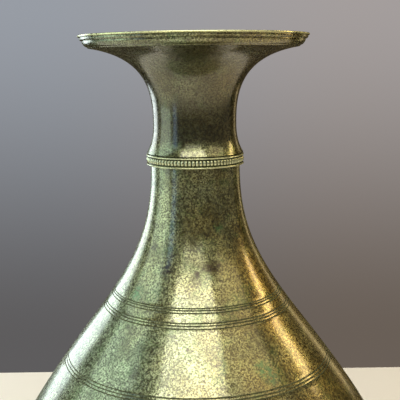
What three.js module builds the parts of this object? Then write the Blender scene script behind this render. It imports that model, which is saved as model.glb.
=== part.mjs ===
// A bronze bottle vase with a dished mouth, a beaded neck collar and a pear-shaped body.
// Millimetres, +Z up, with the origin at the middle of the foot's resting plane.
import * as THREE from "three";

// Overall sizes
const HEIGHT = 350;
const MOUTH_RADIUS = 60;
const WAIST_RADIUS = 22;
const BELLY_RADIUS = 111.5;
const BELLY_HEIGHT = 101;
const FOOT_RADIUS = 60;
const WALL = 2.1;
const GAP = 0.3;

// The joint at the neck: the mouth's spigot enters the body's neck, and the collar goes round it
const SEAM_HEIGHT = HEIGHT - 61.3;
const SKIRT_RADIUS = 25.6;
const SPIGOT_LENGTH = 12;
const SPIGOT_RADIUS = 21.2;
const SPIGOT_WALL = 1.5;
const COLLAR_RADIUS = 26;
const COLLAR_TOP = SEAM_HEIGHT - GAP;
const COLLAR_FOOT = COLLAR_TOP - 5.8;
const COLLAR_BORE = 23.3;
const NECK_RADIUS = 23.7;
const BEADS = 84;
const BEAD_DEPTH = 0.9;

// Turned lines on the body, as depths under the rim
const SHOULDER_LINES = [134, 134.9, 136.1, 140.3, 141.4, 142.7];
const BELLY_LINES = [169.7, 171, 172.3];
const LINE_WIDTH = 0.8;
const LINE_DEPTH = 0.4;

// The foot: the ring's ledge carries the body's end and the base plate
const LEDGE_HEIGHT = 15.7;
const LEDGE_BORE = FOOT_RADIUS - 11.5;
const BODY_END = LEDGE_HEIGHT + GAP;
const BODY_END_RADIUS = FOOT_RADIUS - 4.7;
const BODY_OPENING = FOOT_RADIUS - 9.4;
const PLATE_RISE = 2.4;

const ROUND_SEGMENTS = 40;

const metal = (color, roughness) => new THREE.MeshStandardMaterial({ color, roughness, metalness: 0.75 });
const patinaGreen = metal(0x6b7148, 0.42);
const patinaBrown = metal(0x66663c, 0.42);
const collarGreen = metal(0x7c8253, 0.5);
const footBrown = metal(0x544c2c, 0.5);
const plateBrown = metal(0x4a4630, 0.6);
const solderGrey = metal(0x77766c, 0.6);

const point = (radius, height) => new THREE.Vector2(radius, height);

// A solid of revolution about +Z. Its profile runs up the outer face and down the inner one,
// and it either starts and ends on the axis or is closed here.
function turned(name, profile, material, segments = ROUND_SEGMENTS) {
  const meetsAxis = profile[0].x === 0;
  const closed = meetsAxis ? profile : [...profile, profile[0].clone()];
  const geometry = new THREE.LatheGeometry(closed, segments);
  geometry.rotateX(Math.PI / 2);
  const mesh = new THREE.Mesh(geometry, material);
  mesh.name = name;
  return mesh;
}

// Points along a cubic curve between two (radius, height) ends.
function curve(start, startPull, endPull, end, steps) {
  return new THREE.CubicBezierCurve(start, startPull, endPull, end).getPoints(steps);
}

// The wall's other face, for a face that runs downwards.
function inset(points, thickness) {
  return points.map((here, i) => {
    const before = points[Math.max(i - 1, 0)];
    const after = points[Math.min(i + 1, points.length - 1)];
    const along = after.clone().sub(before).normalize();
    return point(here.x + along.y * thickness, here.y - along.x * thickness);
  });
}

// The lip's outer face steps down through a narrow fillet and a wider ridge, parted by turned grooves.
function lipFace() {
  const r = MOUTH_RADIUS;
  return [
    point(r - 1.1, HEIGHT),
    point(r, HEIGHT - 0.3),
    point(r - 0.3, HEIGHT - 0.9),
    point(r - 1.1, HEIGHT - 1.2),
    point(r - 1, HEIGHT - 1.8),
    point(r - 1.6, HEIGHT - 2.5),
    point(r - 2.6, HEIGHT - 3),
    point(r - 2.5, HEIGHT - 3.6),
    point(r - 3.5, HEIGHT - 5.4),
    point(r - 4.6, HEIGHT - 6.1),
  ];
}

// The trumpet runs from the lip's underside in to the waist.
function trumpetFace(steps) {
  return curve(
    point(MOUTH_RADIUS - 5.5, HEIGHT - 6.6),
    point(MOUTH_RADIUS - 36.6, HEIGHT - 11.6),
    point(WAIST_RADIUS, HEIGHT - 31.5),
    point(WAIST_RADIUS, HEIGHT - 46),
    steps,
  );
}

// Below the waist the wall flares into a skirt that covers the joint.
function skirtFace(steps) {
  return curve(
    point(WAIST_RADIUS, HEIGHT - 46),
    point(WAIST_RADIUS, HEIGHT - 53),
    point(SKIRT_RADIUS - 2.2, SEAM_HEIGHT + 3.8),
    point(SKIRT_RADIUS, SEAM_HEIGHT),
    steps,
  );
}

function mouthNeck() {
  const spigotFoot = SEAM_HEIGHT - SPIGOT_LENGTH;
  const bore = SPIGOT_RADIUS - SPIGOT_WALL;
  const outer = [...lipFace(), ...trumpetFace(12), ...skirtFace(4).slice(1)];
  const spigot = [
    point(SPIGOT_RADIUS, SEAM_HEIGHT),
    point(SPIGOT_RADIUS, spigotFoot),
    point(bore, spigotFoot),
    point(bore, SEAM_HEIGHT + 2),
  ];
  const throat = inset(trumpetFace(9), WALL).reverse();
  const lipInside = point(MOUTH_RADIUS - 3, HEIGHT - 2);
  return turned("mouth_neck", [...outer, ...spigot, ...throat, lipInside].reverse(), patinaGreen);
}

// The collar's band is notched into beads between two plain fillets.
function neckCollar() {
  const r = COLLAR_RADIUS;
  const profile = [
    point(COLLAR_BORE, COLLAR_FOOT),
    point(r - 1.2, COLLAR_FOOT),
    point(r, COLLAR_FOOT + 0.6),
    point(r - 0.8, COLLAR_FOOT + 1.3),
    point(r - 0.1, COLLAR_FOOT + 2),
    point(r - 0.1, COLLAR_FOOT + 3.8),
    point(r - 0.8, COLLAR_FOOT + 4.5),
    point(r, COLLAR_TOP - 0.8),
    point(r - 1.2, COLLAR_TOP),
    point(COLLAR_BORE, COLLAR_TOP),
  ];
  const beadRows = [4, 5];
  const columns = BEADS * 2;
  const collar = turned("neck_collar", profile, collarGreen, columns);
  const place = collar.geometry.getAttribute("position");
  const rowsPerColumn = profile.length + 1;
  const notch = 1 - BEAD_DEPTH / r;
  for (let column = 1; column < columns; column += 2) {
    for (const row of beadRows) {
      const i = column * rowsPerColumn + row;
      place.setXY(i, place.getX(i) * notch, place.getY(i) * notch);
    }
  }
  return collar;
}

// The body's outer face without its turned lines: neck to shoulder, shoulder to belly, belly to foot.
function bodyFace(neckSteps, shoulderSteps, footSteps) {
  const neck = point(NECK_RADIUS, COLLAR_FOOT - GAP);
  const shoulder = point(56, HEIGHT - 150);
  const belly = point(BELLY_RADIUS, BELLY_HEIGHT);
  const end = point(BODY_END_RADIUS, BODY_END);
  const upper = curve(neck, point(NECK_RADIUS, HEIGHT - 95.5), point(29.1, HEIGHT - 114.6), shoulder, neckSteps);
  const middle = curve(shoulder, point(84.5, HEIGHT - 187.5), point(BELLY_RADIUS, BELLY_HEIGHT + 23), belly, shoulderSteps);
  const lower = curve(belly, point(BELLY_RADIUS, BELLY_HEIGHT - 38), point(84, BODY_END + 13), end, footSteps);
  return [...upper, ...middle.slice(1), ...lower.slice(1)];
}

// Cuts a V line into a face that runs downwards, at each of the given heights.
function withLines(face, heights) {
  const cut = face.filter((p) => heights.every((z) => Math.abs(p.y - z) > LINE_WIDTH));
  for (const z of heights) {
    const i = cut.findIndex((p) => p.y < z);
    const above = cut[i - 1];
    const below = cut[i];
    const along = below.clone().sub(above).normalize();
    const middle = above.clone().lerp(below, (above.y - z) / (above.y - below.y));
    const halfLine = along.clone().multiplyScalar(LINE_WIDTH / 2);
    const bottom = point(middle.x + along.y * LINE_DEPTH, middle.y - along.x * LINE_DEPTH);
    cut.splice(i, 0, middle.clone().sub(halfLine), bottom, middle.clone().add(halfLine));
  }
  return cut;
}

function body() {
  const lineHeights = [...SHOULDER_LINES, ...BELLY_LINES].map((depth) => HEIGHT - depth);
  const outer = withLines(bodyFace(10, 7, 9), lineHeights);
  const socketRadius = SPIGOT_RADIUS + GAP;
  const socketFoot = SEAM_HEIGHT - SPIGOT_LENGTH - GAP;
  const tenon = [
    point(socketRadius, COLLAR_TOP),
    point(COLLAR_BORE - GAP, COLLAR_TOP),
    point(COLLAR_BORE - GAP, COLLAR_FOOT - GAP),
  ];
  const flange = [point(BODY_OPENING, BODY_END), point(BODY_OPENING, BODY_END + WALL)];
  const lining = inset(bodyFace(7, 5, 7), WALL).filter((p) => p.y < socketFoot && p.y > BODY_END + WALL);
  return turned("body", [...tenon, ...outer, ...flange, ...lining.reverse()].reverse(), patinaBrown);
}

// The foot ring's top lip goes round the body's end.
function footRing() {
  const r = FOOT_RADIUS;
  const socket = BODY_END_RADIUS + GAP;
  const profile = [
    point(r - 4.5, 0),
    point(r - 0.6, 0),
    point(r, 0.9),
    point(r - 0.3, 3.2),
    point(r - 2.2, 4.4),
    point(r - 3, 9),
    point(r - 3, 13.2),
    point(r - 2.2, LEDGE_HEIGHT - 0.4),
    point(r - 2.8, LEDGE_HEIGHT + 0.5),
    point(socket, LEDGE_HEIGHT + 0.3),
    point(socket, LEDGE_HEIGHT),
    point(LEDGE_BORE, LEDGE_HEIGHT),
    point(LEDGE_BORE, LEDGE_HEIGHT - 2.5),
    point(r - 6.5, LEDGE_HEIGHT - 5),
  ];
  return turned("foot_ring", profile, footBrown);
}

// The base plate closes the body from below and is raised a little in the middle.
function basePlate() {
  const rim = BODY_OPENING - GAP;
  const flatFrom = LEDGE_BORE - 4;
  const profile = [
    point(0, BODY_END + PLATE_RISE),
    point(flatFrom / 2, BODY_END + PLATE_RISE * 0.8),
    point(flatFrom, BODY_END),
    point(rim, BODY_END),
    point(rim, BODY_END + WALL),
    point(flatFrom, BODY_END + WALL),
    point(flatFrom / 2, BODY_END + WALL + PLATE_RISE * 0.8),
    point(0, BODY_END + WALL + PLATE_RISE),
  ];
  return turned("base_plate", profile, plateBrown);
}

// A fillet of solder under a face, in the corner against the wall round it.
function solderFillet(name, wallRadius, faceHeight, width, depth) {
  const outer = wallRadius - GAP;
  const top = faceHeight - GAP;
  const profile = [point(outer - width, top), point(outer, top - depth), point(outer, top)];
  return turned(name, profile, solderGrey);
}

const vase = new THREE.Group();
vase.add(mouthNeck(), neckCollar(), body(), footRing(), basePlate());
vase.add(solderFillet("neck_solder", SPIGOT_RADIUS + GAP, SEAM_HEIGHT - SPIGOT_LENGTH, 1.6, 3.2));
vase.add(solderFillet("base_solder", LEDGE_BORE, BODY_END, 2.6, 2.2));

export default vase;
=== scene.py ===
import math

import bpy
from mathutils import Matrix, Vector


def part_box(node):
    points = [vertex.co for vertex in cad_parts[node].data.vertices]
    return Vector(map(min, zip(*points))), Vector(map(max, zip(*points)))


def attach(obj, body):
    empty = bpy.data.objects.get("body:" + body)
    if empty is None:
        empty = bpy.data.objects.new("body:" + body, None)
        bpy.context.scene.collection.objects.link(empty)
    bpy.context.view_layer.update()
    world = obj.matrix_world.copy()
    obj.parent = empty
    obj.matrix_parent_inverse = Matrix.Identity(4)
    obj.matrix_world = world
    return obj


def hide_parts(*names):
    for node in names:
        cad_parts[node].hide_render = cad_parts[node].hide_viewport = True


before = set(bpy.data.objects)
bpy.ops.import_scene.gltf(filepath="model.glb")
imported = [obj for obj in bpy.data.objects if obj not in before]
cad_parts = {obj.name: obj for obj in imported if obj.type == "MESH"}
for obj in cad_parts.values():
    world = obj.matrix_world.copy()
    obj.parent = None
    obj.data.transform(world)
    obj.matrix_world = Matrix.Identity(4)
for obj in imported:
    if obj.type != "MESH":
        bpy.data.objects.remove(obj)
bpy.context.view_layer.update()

# Metres throughout. The driving sizes come from the parts in model.glb.
MM = 0.001
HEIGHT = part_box("mouth_neck")[1][2]
MOUTH_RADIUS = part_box("mouth_neck")[1][0]
BELLY_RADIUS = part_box("body")[1][0]
FOOT_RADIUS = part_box("foot_ring")[1][0]
COLLAR_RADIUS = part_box("neck_collar")[1][0]
COLLAR_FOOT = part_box("neck_collar")[0][2]
COLLAR_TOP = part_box("neck_collar")[1][2]
SPIGOT_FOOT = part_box("mouth_neck")[0][2]
BODY_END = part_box("body")[0][2]

GAP = 0.3 * MM
WALL = 2.1 * MM
SEAM_HEIGHT = COLLAR_TOP + GAP
LEDGE_HEIGHT = BODY_END - GAP

# The lip's mouldings, as (inward, depth) in millimetres from the mouth's edge and the rim
LIP_EDGE = [(1.6, 0.05), (1.1, 0), (0.25, 0), (0, 0.3), (0, 0.7), (0.3, 1.05), (0.95, 1.25)]
LIP_FILLET = [(0.75, 1.6), (0.9, 2.2), (1.4, 2.7), (2.35, 2.95)]
LIP_RIDGE = [(2.1, 3.4), (2.4, 4.2), (3.1, 5.1), (3.7, 5.7), (4.7, 6)]
LIP_FOOT = [(5, 6.5), (5.5, 6.65)]
BRIM = [(3.6, 2.6), (2.4, 1), (1.6, 0.3)]

# The neck and its skirt: the ends of each curve, and the two handles between them
WAIST_RADIUS = 22 * MM
SKIRT_RADIUS = 25.6 * MM
TRUMPET_TOP = (MOUTH_RADIUS - 5.5 * MM, HEIGHT - 6.65 * MM)
TRUMPET_HANDLES = ((MOUTH_RADIUS - 36.6 * MM, HEIGHT - 11.6 * MM), (WAIST_RADIUS, HEIGHT - 31.5 * MM))
WAIST = (WAIST_RADIUS, HEIGHT - 46 * MM)
SKIRT_HANDLES = ((WAIST_RADIUS, HEIGHT - 53 * MM), (SKIRT_RADIUS - 2.2 * MM, SEAM_HEIGHT + 3.8 * MM))
SKIRT_END = (SKIRT_RADIUS, SEAM_HEIGHT + 0.25 * MM)
SKIRT_CHAMFER = 0.3 * MM

SPIGOT_RADIUS = 21.2 * MM
SPIGOT_BORE = SPIGOT_RADIUS - 1.5 * MM
BORE_TOP = SEAM_HEIGHT + 2 * MM

# The collar: a band of beads between two plain fillets
COLLAR_BORE = 23.3 * MM
COLLAR_FLOOR = COLLAR_RADIUS - 1.05 * MM
COLLAR_MIDDLE = (COLLAR_FOOT + COLLAR_TOP) / 2
FILLET_INSIDE = COLLAR_RADIUS - 1.6 * MM
FILLET_CORNER = COLLAR_RADIUS - 0.5 * MM
FILLET_CREST = COLLAR_RADIUS + 0.1 * MM
FILLET_HEIGHT = 1.3 * MM
LOWER_CREST_HEIGHT = 0.6 * MM
UPPER_CREST_DEPTH = 0.7 * MM
BEADS = 84
BEAD_SWELL = 0.95 * MM
BEAD_BAND = 1.5 * MM
BEAD_ROWS = 18
BEAD_INSIDE = COLLAR_RADIUS - 1.2 * MM

# The body: the ends of its three curves, and the two handles of each
NECK_RADIUS = 23.7 * MM
BELLY_HEIGHT = 101 * MM
BODY_END_RADIUS = FOOT_RADIUS - 4.7 * MM
BODY_OPENING = FOOT_RADIUS - 9.4 * MM
NECK = (NECK_RADIUS, COLLAR_FOOT - GAP)
NECK_HANDLES = ((NECK_RADIUS, HEIGHT - 95.5 * MM), (29.1 * MM, HEIGHT - 114.6 * MM))
SHOULDER = (56 * MM, HEIGHT - 150 * MM)
SHOULDER_HANDLES = ((84.5 * MM, HEIGHT - 187.5 * MM), (BELLY_RADIUS, BELLY_HEIGHT + 23 * MM))
BELLY = (BELLY_RADIUS, BELLY_HEIGHT)
BELLY_HANDLES = ((BELLY_RADIUS, BELLY_HEIGHT - 38 * MM), (84 * MM, BODY_END + 13 * MM))

# The turned lines: depths under the rim in millimetres, and one line's section as
# (place along the face, depth into it) in shares of its half width and its depth
LINE_DEPTHS = [134, 134.9, 136.1, 140.3, 141.4, 142.7, 169.7, 171, 172.3]
LINE_SECTION = [(-1.5, 0), (-1, -0.12), (-0.55, 0.45), (0, 1), (0.55, 0.45), (1, -0.12), (1.5, 0)]
LINE_HALF = 0.26 * MM
LINE_DEPTH = 0.22 * MM

# The foot's mouldings, as (inward, height) in millimetres from the foot's edge and the table
FOOT_BASE = [(4.5, 0), (0.9, 0), (-0.05, 0.5), (-0.05, 2.4), (0.7, 3.6), (2.6, 4.4)]
FOOT_WAIST = [(3.1, 9), (3.1, 13), (2, 14.2), (2, 15.6)]
FOOT_TOP = (FOOT_RADIUS - 2.9 * MM, LEDGE_HEIGHT + 0.5 * MM)
LEDGE_BORE = FOOT_RADIUS - 11.5 * MM
LEDGE_UNDERSIDE = LEDGE_HEIGHT - 2.5 * MM
RECESS_TOP = (FOOT_RADIUS - 6.5 * MM, LEDGE_HEIGHT - 5 * MM)

# Columns of faces round each piece
BODY_COLUMNS = 512
COLLAR_COLUMNS = 10 * BEADS
FOOT_COLUMNS = 256


# Profiles: lists of (radius, height)

def cubic(a, b, c, d, steps):
    """Points along a cubic curve."""
    points = []
    for i in range(steps + 1):
        t = i / steps
        u = 1 - t
        weights = (u ** 3, 3 * u * u * t, 3 * u * t * t, t ** 3)
        points.append(tuple(sum(w * p[k] for w, p in zip(weights, (a, b, c, d))) for k in (0, 1)))
    return points


def rounded(points, passes=2):
    """Cut the corners of a profile, keeping its two ends."""
    for _ in range(passes):
        cut = [points[0]]
        for (r0, z0), (r1, z1) in zip(points, points[1:]):
            cut.append((0.75 * r0 + 0.25 * r1, 0.75 * z0 + 0.25 * z1))
            cut.append((0.25 * r0 + 0.75 * r1, 0.25 * z0 + 0.75 * z1))
        points = cut + [points[-1]]
    return points


def inset(points, thickness):
    """The wall's other face, for a face that runs downwards."""
    moved = []
    for i, (r, z) in enumerate(points):
        r0, z0 = points[max(i - 1, 0)]
        r1, z1 = points[min(i + 1, len(points) - 1)]
        length = math.hypot(r1 - r0, z1 - z0)
        moved.append((r + (z1 - z0) / length * thickness, z - (r1 - r0) / length * thickness))
    return moved


def from_rim(steps):
    """A moulding's (inward, depth) pairs as a profile."""
    return [(MOUTH_RADIUS - inward * MM, HEIGHT - depth * MM) for inward, depth in steps]


def trumpet_face(steps):
    return cubic(TRUMPET_TOP, *TRUMPET_HANDLES, WAIST, steps)


def mouth_profile():
    lip = rounded(from_rim(LIP_EDGE + LIP_FILLET + LIP_RIDGE + LIP_FOOT))
    skirt = cubic(WAIST, *SKIRT_HANDLES, SKIRT_END, 24)
    outer = lip + trumpet_face(70)[1:] + skirt[1:]
    spigot = [
        (SKIRT_RADIUS - SKIRT_CHAMFER, SEAM_HEIGHT),
        (SPIGOT_RADIUS, SEAM_HEIGHT),
        (SPIGOT_RADIUS, SPIGOT_FOOT),
        (SPIGOT_BORE, SPIGOT_FOOT),
        (SPIGOT_BORE, BORE_TOP),
    ]
    throat = inset(trumpet_face(50), WALL)[::-1]
    brim = rounded([throat[-1]] + from_rim(BRIM))
    return (outer + spigot + throat + brim[1:])[::-1]


def collar_fillet(end, inwards, crest):
    """A plain fillet, from the collar's end face towards its middle."""
    steps = [(FILLET_INSIDE, 0), (FILLET_CORNER, 0), (FILLET_CREST, crest), (COLLAR_FLOOR, FILLET_HEIGHT)]
    return rounded([(radius, end + inwards * rise) for radius, rise in steps])


def collar_profile():
    lower = collar_fillet(COLLAR_FOOT, 1, LOWER_CREST_HEIGHT)
    upper = collar_fillet(COLLAR_TOP, -1, UPPER_CREST_DEPTH)[::-1]
    rows = range(BEAD_ROWS + 1)
    band = [(COLLAR_FLOOR, COLLAR_MIDDLE + BEAD_BAND * (2 * i / BEAD_ROWS - 1)) for i in rows]
    return [(COLLAR_BORE, COLLAR_FOOT)] + lower + band + upper + [(COLLAR_BORE, COLLAR_TOP)]


def bead_reach(radius, height, turn):
    """The radius of the collar's face, swollen into a row of beads."""
    across_band = (height - COLLAR_MIDDLE) / BEAD_BAND
    if radius < BEAD_INSIDE or abs(across_band) >= 1:
        return radius
    along = abs(math.sin(BEADS * turn / 2))
    return radius + BEAD_SWELL * math.sqrt(1 - across_band * across_band) * math.sqrt(along)


def body_face(neck_steps, shoulder_steps, belly_steps):
    """The body's outer face, from the neck down."""
    upper = cubic(NECK, *NECK_HANDLES, SHOULDER, neck_steps)
    middle = cubic(SHOULDER, *SHOULDER_HANDLES, BELLY, shoulder_steps)
    lower = cubic(BELLY, *BELLY_HANDLES, (BODY_END_RADIUS, BODY_END), belly_steps)
    return upper + middle[1:] + lower[1:]


def with_lines(face):
    """Cut the turned lines into a face that runs downwards. Also gives the points in the lines."""
    heights = [HEIGHT - depth * MM for depth in LINE_DEPTHS]
    cut = [p for p in face if all(abs(p[1] - z) > 2 * LINE_HALF for z in heights)]
    line_points = set()
    for z in heights:
        i = next(k for k, p in enumerate(cut) if p[1] < z)
        (r0, z0), (r1, z1) = cut[i - 1], cut[i]
        length = math.hypot(r1 - r0, z1 - z0)
        along_r = (r1 - r0) / length
        along_z = (z1 - z0) / length
        middle_r = r0 + (r1 - r0) * (z0 - z) / (z0 - z1)
        line = []
        for step, depth in LINE_SECTION:
            s = step * LINE_HALF
            d = depth * LINE_DEPTH
            line.append((middle_r + along_r * s + along_z * d, z + along_z * s - along_r * d))
        line_points.update(line[2:5])
        cut[i:i] = line
    return cut, line_points


def body_profile():
    """The body's profile, and its points in the turned lines."""
    outer, line_points = with_lines(body_face(90, 50, 60))
    tenon_radius = COLLAR_BORE - GAP
    tenon = [
        (SPIGOT_RADIUS + GAP, COLLAR_TOP),
        (tenon_radius, COLLAR_TOP),
        (tenon_radius, COLLAR_FOOT - GAP),
    ]
    flange_top = BODY_END + WALL
    flange = [(BODY_OPENING, BODY_END), (BODY_OPENING, flange_top)]
    lining = [p for p in inset(body_face(30, 20, 24), WALL) if flange_top < p[1] < SPIGOT_FOOT - GAP]
    return (tenon + outer + flange + lining[::-1])[::-1], line_points


def foot_profile():
    outer = [(FOOT_RADIUS - inward * MM, height * MM) for inward, height in FOOT_BASE + FOOT_WAIST]
    socket = BODY_END_RADIUS + GAP
    inner = [
        (socket, LEDGE_HEIGHT + GAP),
        (socket, LEDGE_HEIGHT),
        (LEDGE_BORE, LEDGE_HEIGHT),
        (LEDGE_BORE, LEDGE_UNDERSIDE),
        RECESS_TOP,
    ]
    return rounded(outer + [FOOT_TOP]) + inner


# Meshes

def turned(name, profile, columns=BODY_COLUMNS, reach=None, line_points=()):
    """A closed solid of revolution. The profile runs up the outer face and down the inner one."""
    verts = []
    for column in range(columns):
        turn = 2 * math.pi * column / columns
        for radius, height in profile:
            r = reach(radius, height, turn) if reach else radius
            verts.append((r * math.cos(turn), r * math.sin(turn), height))
    rows = len(profile)
    faces = []
    in_line = []
    for column in range(columns):
        here = column * rows
        there = (column + 1) % columns * rows
        for row in range(rows):
            above = (row + 1) % rows
            faces.append((here + row, there + row, there + above, here + above))
            in_line.append(profile[row] in line_points or profile[above] in line_points)
    mesh = bpy.data.meshes.new(name)
    mesh.from_pydata(verts, [], faces)
    mesh.polygons.foreach_set("use_smooth", [True] * len(faces))
    mesh.polygons.foreach_set("material_index", [int(dark) for dark in in_line])
    mesh.set_sharp_from_angle(angle=math.radians(38))
    mesh.update()
    piece = bpy.data.objects.new(name, mesh)
    bpy.context.scene.collection.objects.link(piece)
    return piece


# The camera: 72 mm on a 36 mm frame, a little below the rim, looking down at the belly

LENS = 72
SENSOR = 36
IMAGE_SIDE = 400
EYE = Vector((0, -0.4246, HEIGHT - 0.0146))
PITCH = math.radians(9.71)
ROLL = math.radians(0.7)
YAW = math.radians(-0.31)

across = Vector((math.cos(YAW), math.sin(YAW), 0))
ahead = Vector((-math.sin(YAW), math.cos(YAW), 0))
up = Vector((0, 0, 1))
forward = ahead * math.cos(PITCH) - up * math.sin(PITCH)
over = ahead * math.sin(PITCH) + up * math.cos(PITCH)
camera_right = across * math.cos(ROLL) - over * math.sin(ROLL)
camera_up = across * math.sin(ROLL) + over * math.cos(ROLL)

camera_data = bpy.data.cameras.new("camera")
camera_data.lens = LENS
camera_data.sensor_width = SENSOR
camera = bpy.data.objects.new("camera", camera_data)
camera_turn = Matrix((camera_right, camera_up, -forward)).transposed().to_4x4()
camera.matrix_world = Matrix.Translation(EYE) @ camera_turn
bpy.context.scene.collection.objects.link(camera)
bpy.context.scene.camera = camera


def under_pixel(x, y):
    """The place on the body that the photograph shows at a pixel."""
    face = body_face(60, 40, 30)
    middle = IMAGE_SIDE / 2
    ray = forward * (LENS / SENSOR * IMAGE_SIDE) + camera_right * (x - middle) - camera_up * (y - middle)
    step = ray.normalized() * 0.5 * MM
    place = EYE.copy()
    while place.y < 0:
        place += step
        (r0, z0), (r1, z1) = next((pair for pair in zip(face, face[1:]) if pair[1][1] <= place.z), face[-2:])
        share = (z0 - place.z) / (z0 - z1)
        if math.hypot(place.x, place.y) <= r0 + (r1 - r0) * share:
            break
    return tuple(place)


# Materials: every map is noise or distance in the object's own space

class Surface:
    """A Principled material and the few kinds of node that its maps need."""

    def __init__(self, name):
        self.material = bpy.data.materials.new(name)
        self.material.use_nodes = True
        self.tree = self.material.node_tree
        self.shader = self.tree.nodes["Principled BSDF"]
        self.place = self.tree.nodes.new("ShaderNodeTexCoord").outputs["Object"]

    def put(self, socket, value):
        if isinstance(value, bpy.types.NodeSocket):
            self.tree.links.new(value, socket)
        else:
            socket.default_value = value

    def noise(self, size, detail=3.0, roughness=0.55, shift=0.0):
        """Noise whose spots are about size metres across."""
        mapping = self.tree.nodes.new("ShaderNodeMapping")
        mapping.inputs["Location"].default_value = (shift, shift, shift)
        self.tree.links.new(self.place, mapping.inputs["Vector"])
        node = self.tree.nodes.new("ShaderNodeTexNoise")
        node.inputs["Scale"].default_value = 1 / size
        node.inputs["Detail"].default_value = detail
        node.inputs["Roughness"].default_value = roughness
        self.tree.links.new(mapping.outputs["Vector"], node.inputs["Vector"])
        return node.outputs["Fac"]

    def ramp(self, value, low, high, bottom=0.0, top=1.0):
        """value between low and high, spread over bottom to top."""
        node = self.tree.nodes.new("ShaderNodeMapRange")
        node.interpolation_type = "SMOOTHSTEP"
        for key, number in zip(("From Min", "From Max", "To Min", "To Max"), (low, high, bottom, top)):
            node.inputs[key].default_value = number
        self.tree.links.new(value, node.inputs["Value"])
        return node.outputs["Result"]

    def maths(self, operation, a, b):
        node = self.tree.nodes.new("ShaderNodeMath")
        node.operation = operation
        self.put(node.inputs[0], a)
        self.put(node.inputs[1], b)
        return node.outputs["Value"]

    def mix(self, share, under, over):
        """Colour over laid on colour under, by share."""
        node = self.tree.nodes.new("ShaderNodeMix")
        node.data_type = "RGBA"
        # A Mix node has its colour sockets after those for numbers and vectors
        factor, a, b = node.inputs[0], node.inputs[6], node.inputs[7]
        self.put(factor, share)
        for socket, colour in ((a, under), (b, over)):
            self.put(socket, colour if isinstance(colour, bpy.types.NodeSocket) else (*colour, 1))
        return node.outputs[2]

    def axis(self, name):
        node = self.tree.nodes.new("ShaderNodeSeparateXYZ")
        self.tree.links.new(self.place, node.inputs["Vector"])
        return node.outputs[name]

    def radius(self):
        """Distance from the vase's axis."""
        x = self.axis("X")
        y = self.axis("Y")
        square = self.maths("ADD", self.maths("MULTIPLY", x, x), self.maths("MULTIPLY", y, y))
        return self.maths("POWER", square, 0.5)

    def near(self, spot, size):
        """1 at a spot, falling to 0 at a distance of size."""
        node = self.tree.nodes.new("ShaderNodeVectorMath")
        node.operation = "DISTANCE"
        self.tree.links.new(self.place, node.inputs[0])
        node.inputs[1].default_value = spot
        return self.ramp(node.outputs["Value"], 0.25 * size, size, 1, 0)

    def bump(self, height, depth, strength):
        """Raise the surface by a map, over any bump that it already has."""
        node = self.tree.nodes.new("ShaderNodeBump")
        node.inputs["Strength"].default_value = strength
        node.inputs["Distance"].default_value = depth
        self.tree.links.new(height, node.inputs["Height"])
        normal = self.shader.inputs["Normal"]
        if normal.is_linked:
            self.tree.links.new(normal.links[0].from_socket, node.inputs["Normal"])
        self.tree.links.new(node.outputs["Normal"], normal)


DARK_GREEN = (0.05, 0.065, 0.015)
DARK_AMBER = (0.1, 0.06, 0.006)
PALE_GREEN = (0.5, 0.57, 0.34)
PALE_AMBER = (0.5, 0.42, 0.12)
LEAF_GREEN = (0.08, 0.15, 0.04)
BROWN = (0.035, 0.022, 0.005)
CREAM = (0.78, 0.82, 0.5)
VERDIGRIS = (0.08, 0.2, 0.07)
RUBBED = (0.82, 0.84, 0.42)

# The size of the spots in each of the patina's maps
DRIFT = 40 * MM
WAVE = 20 * MM
CLUSTER = 11 * MM
LEAF = 9 * MM
CLOUD = 8 * MM
MARK_EDGE = 2 * MM
SMEAR = 1.6 * MM
TOOTH = 1.3 * MM
PIT = 1 * MM
GRAIN = 0.8 * MM

# Marks on the body: (pixel of the photograph, size in metres)
VERDIGRIS_MARKS = [
    ((137, 293), 0.006),
    ((272, 375), 0.008),
    ((218, 228), 0.004),
    ((262, 368), 0.006),
]
BROWN_MARKS = [
    ((167, 270), 0.006),
    ((215, 267), 0.005),
    ((155, 247), 0.0035),
    ((198, 274), 0.003),
    ((208, 268), 0.003),
]


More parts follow.
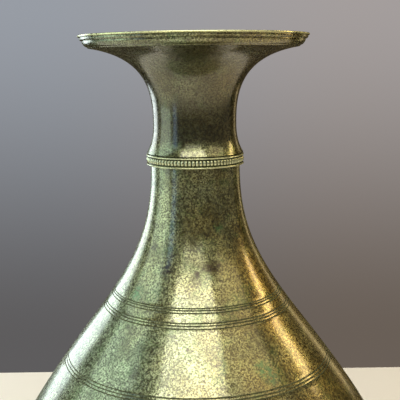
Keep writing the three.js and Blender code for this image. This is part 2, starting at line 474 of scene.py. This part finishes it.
def patina(name, pale_share=0.85, dark_share=0.5, rough=0.27):
    """Polished bronze under a thin speckled patina, greener on one side and more golden on the other."""
    s = Surface(name)
    drift = s.ramp(s.noise(DRIFT, 3), 0.35, 0.68, -0.2, 0.3)
    side = s.maths("ADD", s.ramp(s.axis("X"), -0.05, 0.06, 0, 0.8), drift)
    dark = s.mix(side, DARK_GREEN, DARK_AMBER)
    pale = s.mix(side, PALE_GREEN, PALE_AMBER)
    leaf = s.ramp(s.noise(LEAF, 4, shift=2.2), 0.5, 0.68, 0, 0.6)
    dark = s.mix(leaf, dark, LEAF_GREEN)
    cluster = s.ramp(s.noise(CLUSTER, 4, 0.6, shift=9.4), 0.34, 0.62, 0.4 * pale_share, pale_share)
    grain = s.ramp(s.noise(GRAIN, 3, 0.65), 0.42, 0.56)
    colour = s.mix(s.maths("MULTIPLY", grain, cluster), dark, pale)
    cloud = s.ramp(s.noise(CLOUD, 5, 0.65), 0.56, 0.7, 0, dark_share)
    colour = s.mix(cloud, colour, BROWN)
    pit = s.ramp(s.noise(PIT, 3, 0.55, shift=7.7), 0.56, 0.63, 0, 0.85)
    colour = s.mix(pit, colour, BROWN)
    s.put(s.shader.inputs["Base Color"], colour)
    s.shader.inputs["Metallic"].default_value = 0.8
    smear = s.ramp(s.noise(SMEAR, 3, shift=1.3), 0.35, 0.7, rough - 0.07, rough + 0.16)
    s.put(s.shader.inputs["Roughness"], smear)
    s.shader.inputs["Coat Weight"].default_value = 0.5
    s.shader.inputs["Coat IOR"].default_value = 2
    s.shader.inputs["Coat Roughness"].default_value = 0.15
    s.bump(s.noise(WAVE, 2), 0.6 * MM, 0.15)
    s.bump(s.noise(TOOTH, 3), 0.12 * MM, 0.5)
    return s, colour


def body_material():
    """The patina with its larger marks, each with a ragged edge."""
    s, colour = patina("patina_body")
    green_edge = s.ramp(s.noise(MARK_EDGE, 4, 0.7), 0.4, 0.6, 0, 0.8)
    brown_edge = s.ramp(s.noise(MARK_EDGE, 4, 0.7, shift=5), 0.38, 0.55)
    for marks, mark_colour, edge in (
        (VERDIGRIS_MARKS, VERDIGRIS, green_edge),
        (BROWN_MARKS, BROWN, brown_edge),
    ):
        for pixel, size in marks:
            share = s.maths("MULTIPLY", s.near(under_pixel(*pixel), size), edge)
            colour = s.mix(share, colour, mark_colour)
    s.put(s.shader.inputs["Base Color"], colour)
    return s.material


def collar_material():
    """Rubbed pale on the bead crests and fillets, and dark where polish and dirt collect between."""
    s, colour = patina("patina_collar", dark_share=0.2, rough=0.32)
    crest = s.ramp(s.radius(), COLLAR_RADIUS - 0.85 * MM, COLLAR_RADIUS - 0.2 * MM)
    colour = s.mix(crest, DARK_GREEN, s.mix(0.7, colour, CREAM))
    s.put(s.shader.inputs["Base Color"], colour)
    return s.material


def mouth_material():
    """The lip's edges are rubbed bright, and the neck is darker than the body: its middle is darkened with
    painted shade.
    """
    s, colour = patina("patina_neck", pale_share=0.6)
    # Painted shade: the neck between the collar and the lip is mixed towards brown.
    low = s.ramp(s.axis("Z"), SEAM_HEIGHT + 3 * MM, SEAM_HEIGHT + 9 * MM)
    high = s.ramp(s.axis("Z"), HEIGHT - 9 * MM, HEIGHT - 3 * MM, 0.6, 0)
    colour = s.mix(s.maths("MULTIPLY", low, high), colour, BROWN)
    edge = s.ramp(s.axis("Z"), HEIGHT - 1.1 * MM, HEIGHT - 0.45 * MM, 0, 0.9)
    colour = s.mix(edge, colour, RUBBED)
    s.put(s.shader.inputs["Base Color"], colour)
    return s.material


def dull_material(name, colour, speck, metallic, rough):
    """A plain cast or soldered surface with a fine grain."""
    s = Surface(name)
    specks = s.ramp(s.noise(4 * MM, 4), 0.42, 0.66, 0, 0.7)
    s.put(s.shader.inputs["Base Color"], s.mix(specks, colour, speck))
    s.shader.inputs["Metallic"].default_value = metallic
    s.put(s.shader.inputs["Roughness"], s.ramp(s.noise(2 * MM), 0.3, 0.7, rough - 0.08, rough + 0.12))
    s.bump(s.noise(2.5 * MM, 4), 0.3 * MM, 0.4)
    return s.material


# The vase

def add_piece(piece, node, slot, *materials):
    for material in materials:
        piece.data.materials.append(material)
    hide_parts(node)
    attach(piece, "root")


line_dark = dull_material("line_dark", (0.1, 0.11, 0.055), (0.2, 0.22, 0.12), 0.5, 0.5)
add_piece(turned("mouth", mouth_profile()), "mouth_neck", "patina_neck", mouth_material())
collar = turned("collar", collar_profile(), COLLAR_COLUMNS, bead_reach)
add_piece(collar, "neck_collar", "patina_collar", collar_material())
outline, cut_points = body_profile()
vase_body = turned("vase_body", outline, line_points=cut_points)
add_piece(vase_body, "body", "patina_body", body_material(), line_dark)
foot_patina = patina("patina_foot", pale_share=0.45, dark_share=0.8)[0].material
add_piece(turned("foot", foot_profile(), FOOT_COLUMNS), "foot_ring", "patina_foot", foot_patina)

kept = {
    "base_plate": dull_material("plate_dark", (0.07, 0.055, 0.03), (0.15, 0.15, 0.08), 0.6, 0.5),
    "neck_solder": dull_material("solder", (0.2, 0.2, 0.18), (0.34, 0.34, 0.31), 0.8, 0.45),
}
kept["base_solder"] = kept["neck_solder"]
for node_name, material in kept.items():
    node_object = bpy.data.objects[node_name]
    node_object.data.materials.clear()
    node_object.data.materials.append(material)


# The stage: a pale table with its far edge in view, and a grey backdrop

TABLE_SIDE = 1.6
TABLE_FRONT = -1.8
TABLE_BACK = 0.418
BACKDROP_SIDE = 3
BACKDROP_Y = 1.2
BACKDROP_FOOT = -1.5
BACKDROP_TOP = 2.5


def table_material():
    s = Surface("table_cream")
    s.put(s.shader.inputs["Base Color"], s.mix(s.noise(0.2), (0.92, 0.85, 0.75), (0.96, 0.9, 0.8)))
    s.shader.inputs["Roughness"].default_value = 0.55
    return s.material


def backdrop_material():
    """The camera sees greys that grow paler upwards, and the vase reflects a dark brown."""
    s = Surface("backdrop_grey")
    rise = s.ramp(s.axis("Z"), -0.25, 0.5)
    sideways = s.ramp(s.axis("X"), -0.35, 0.35)
    low_grey = s.mix(sideways, (0.112, 0.108, 0.11), (0.142, 0.115, 0.095))
    high_grey = s.mix(sideways, (0.315, 0.338, 0.378), (0.375, 0.344, 0.338))
    seen = s.tree.nodes.new("ShaderNodeLightPath").outputs["Is Camera Ray"]
    s.put(s.shader.inputs["Base Color"], s.mix(seen, (0.1, 0.08, 0.05), (0, 0, 0)))
    s.shader.inputs["Roughness"].default_value = 1
    s.shader.inputs["Specular IOR Level"].default_value = 0
    s.put(s.shader.inputs["Emission Color"], s.mix(rise, low_grey, high_grey))
    s.put(s.shader.inputs["Emission Strength"], seen)
    return s.material


def panel(name, corners, material):
    mesh = bpy.data.meshes.new(name)
    mesh.from_pydata(corners, [], [(0, 1, 2, 3)])
    mesh.materials.append(material)
    made = bpy.data.objects.new(name, mesh)
    bpy.context.scene.collection.objects.link(made)
    return made


table_corners = [
    (-TABLE_SIDE, TABLE_FRONT, 0),
    (TABLE_SIDE, TABLE_FRONT, 0),
    (TABLE_SIDE, TABLE_BACK, 0),
    (-TABLE_SIDE, TABLE_BACK, 0),
]
backdrop_corners = [
    (-BACKDROP_SIDE, BACKDROP_Y, BACKDROP_FOOT),
    (BACKDROP_SIDE, BACKDROP_Y, BACKDROP_FOOT),
    (BACKDROP_SIDE, BACKDROP_Y, BACKDROP_TOP),
    (-BACKDROP_SIDE, BACKDROP_Y, BACKDROP_TOP),
]
floor = panel("table", table_corners, table_material())
backdrop = panel("backdrop", backdrop_corners, backdrop_material())


# The light: soft panels placed by azimuth from the camera's side (positive to the right) and elevation

AIM = Vector((0, 0, 0.18))


def light_panel(name, azimuth, elevation, distance, width, height, colour, radiance):
    a = math.radians(azimuth)
    e = math.radians(elevation)
    towards = Vector((math.sin(a) * math.cos(e), -math.cos(a) * math.cos(e), math.sin(e)))
    data = bpy.data.lights.new(name, "AREA")
    data.shape = "RECTANGLE"
    data.size = width
    data.size_y = height
    data.color = colour
    data.energy = radiance * math.pi * width * height
    light = bpy.data.objects.new(name, data)
    light.location = AIM + towards * distance
    light.rotation_euler = towards.to_track_quat("Z", "Y").to_euler()
    bpy.context.scene.collection.objects.link(light)


light_panel("front_window", -6, 53, 1.25, 1.05, 0.4, (1, 0.95, 0.8), 5.5)
light_panel("front_soft", -6, 37, 1.25, 0.8, 0.3, (1, 0.96, 0.84), 1.4)
light_panel("top_soft", 0, 89, 1.25, 1.1, 1.1, (1, 0.97, 0.93), 2.2)
light_panel("left_cool", -137, 12, 1.1, 0.5, 0.75, (0.84, 0.95, 1), 3.6)
light_panel("left_soft", -86, 18, 1.2, 0.8, 1.1, (0.82, 1, 0.92), 1.8)
light_panel("left_blue", -55, 12, 1.1, 0.2, 0.9, (0.4, 0.6, 1), 1.2)
light_panel("right_warm", 107, 31, 1.15, 0.17, 0.55, (1, 0.72, 0.34), 8)
light_panel("right_soft", 60, 42, 1.2, 0.7, 0.5, (1, 0.86, 0.55), 1.3)
light_panel("right_back", 141, 5, 1.1, 0.12, 0.5, (1, 0.78, 0.4), 1.2)

world = bpy.data.worlds.new("room")
world.use_nodes = True
room = world.node_tree.nodes["Background"]
room.inputs["Color"].default_value = (1, 0.97, 0.93, 1)
room.inputs["Strength"].default_value = 0.1
bpy.context.scene.world = world

bpy.context.scene.view_settings.view_transform = "Standard"
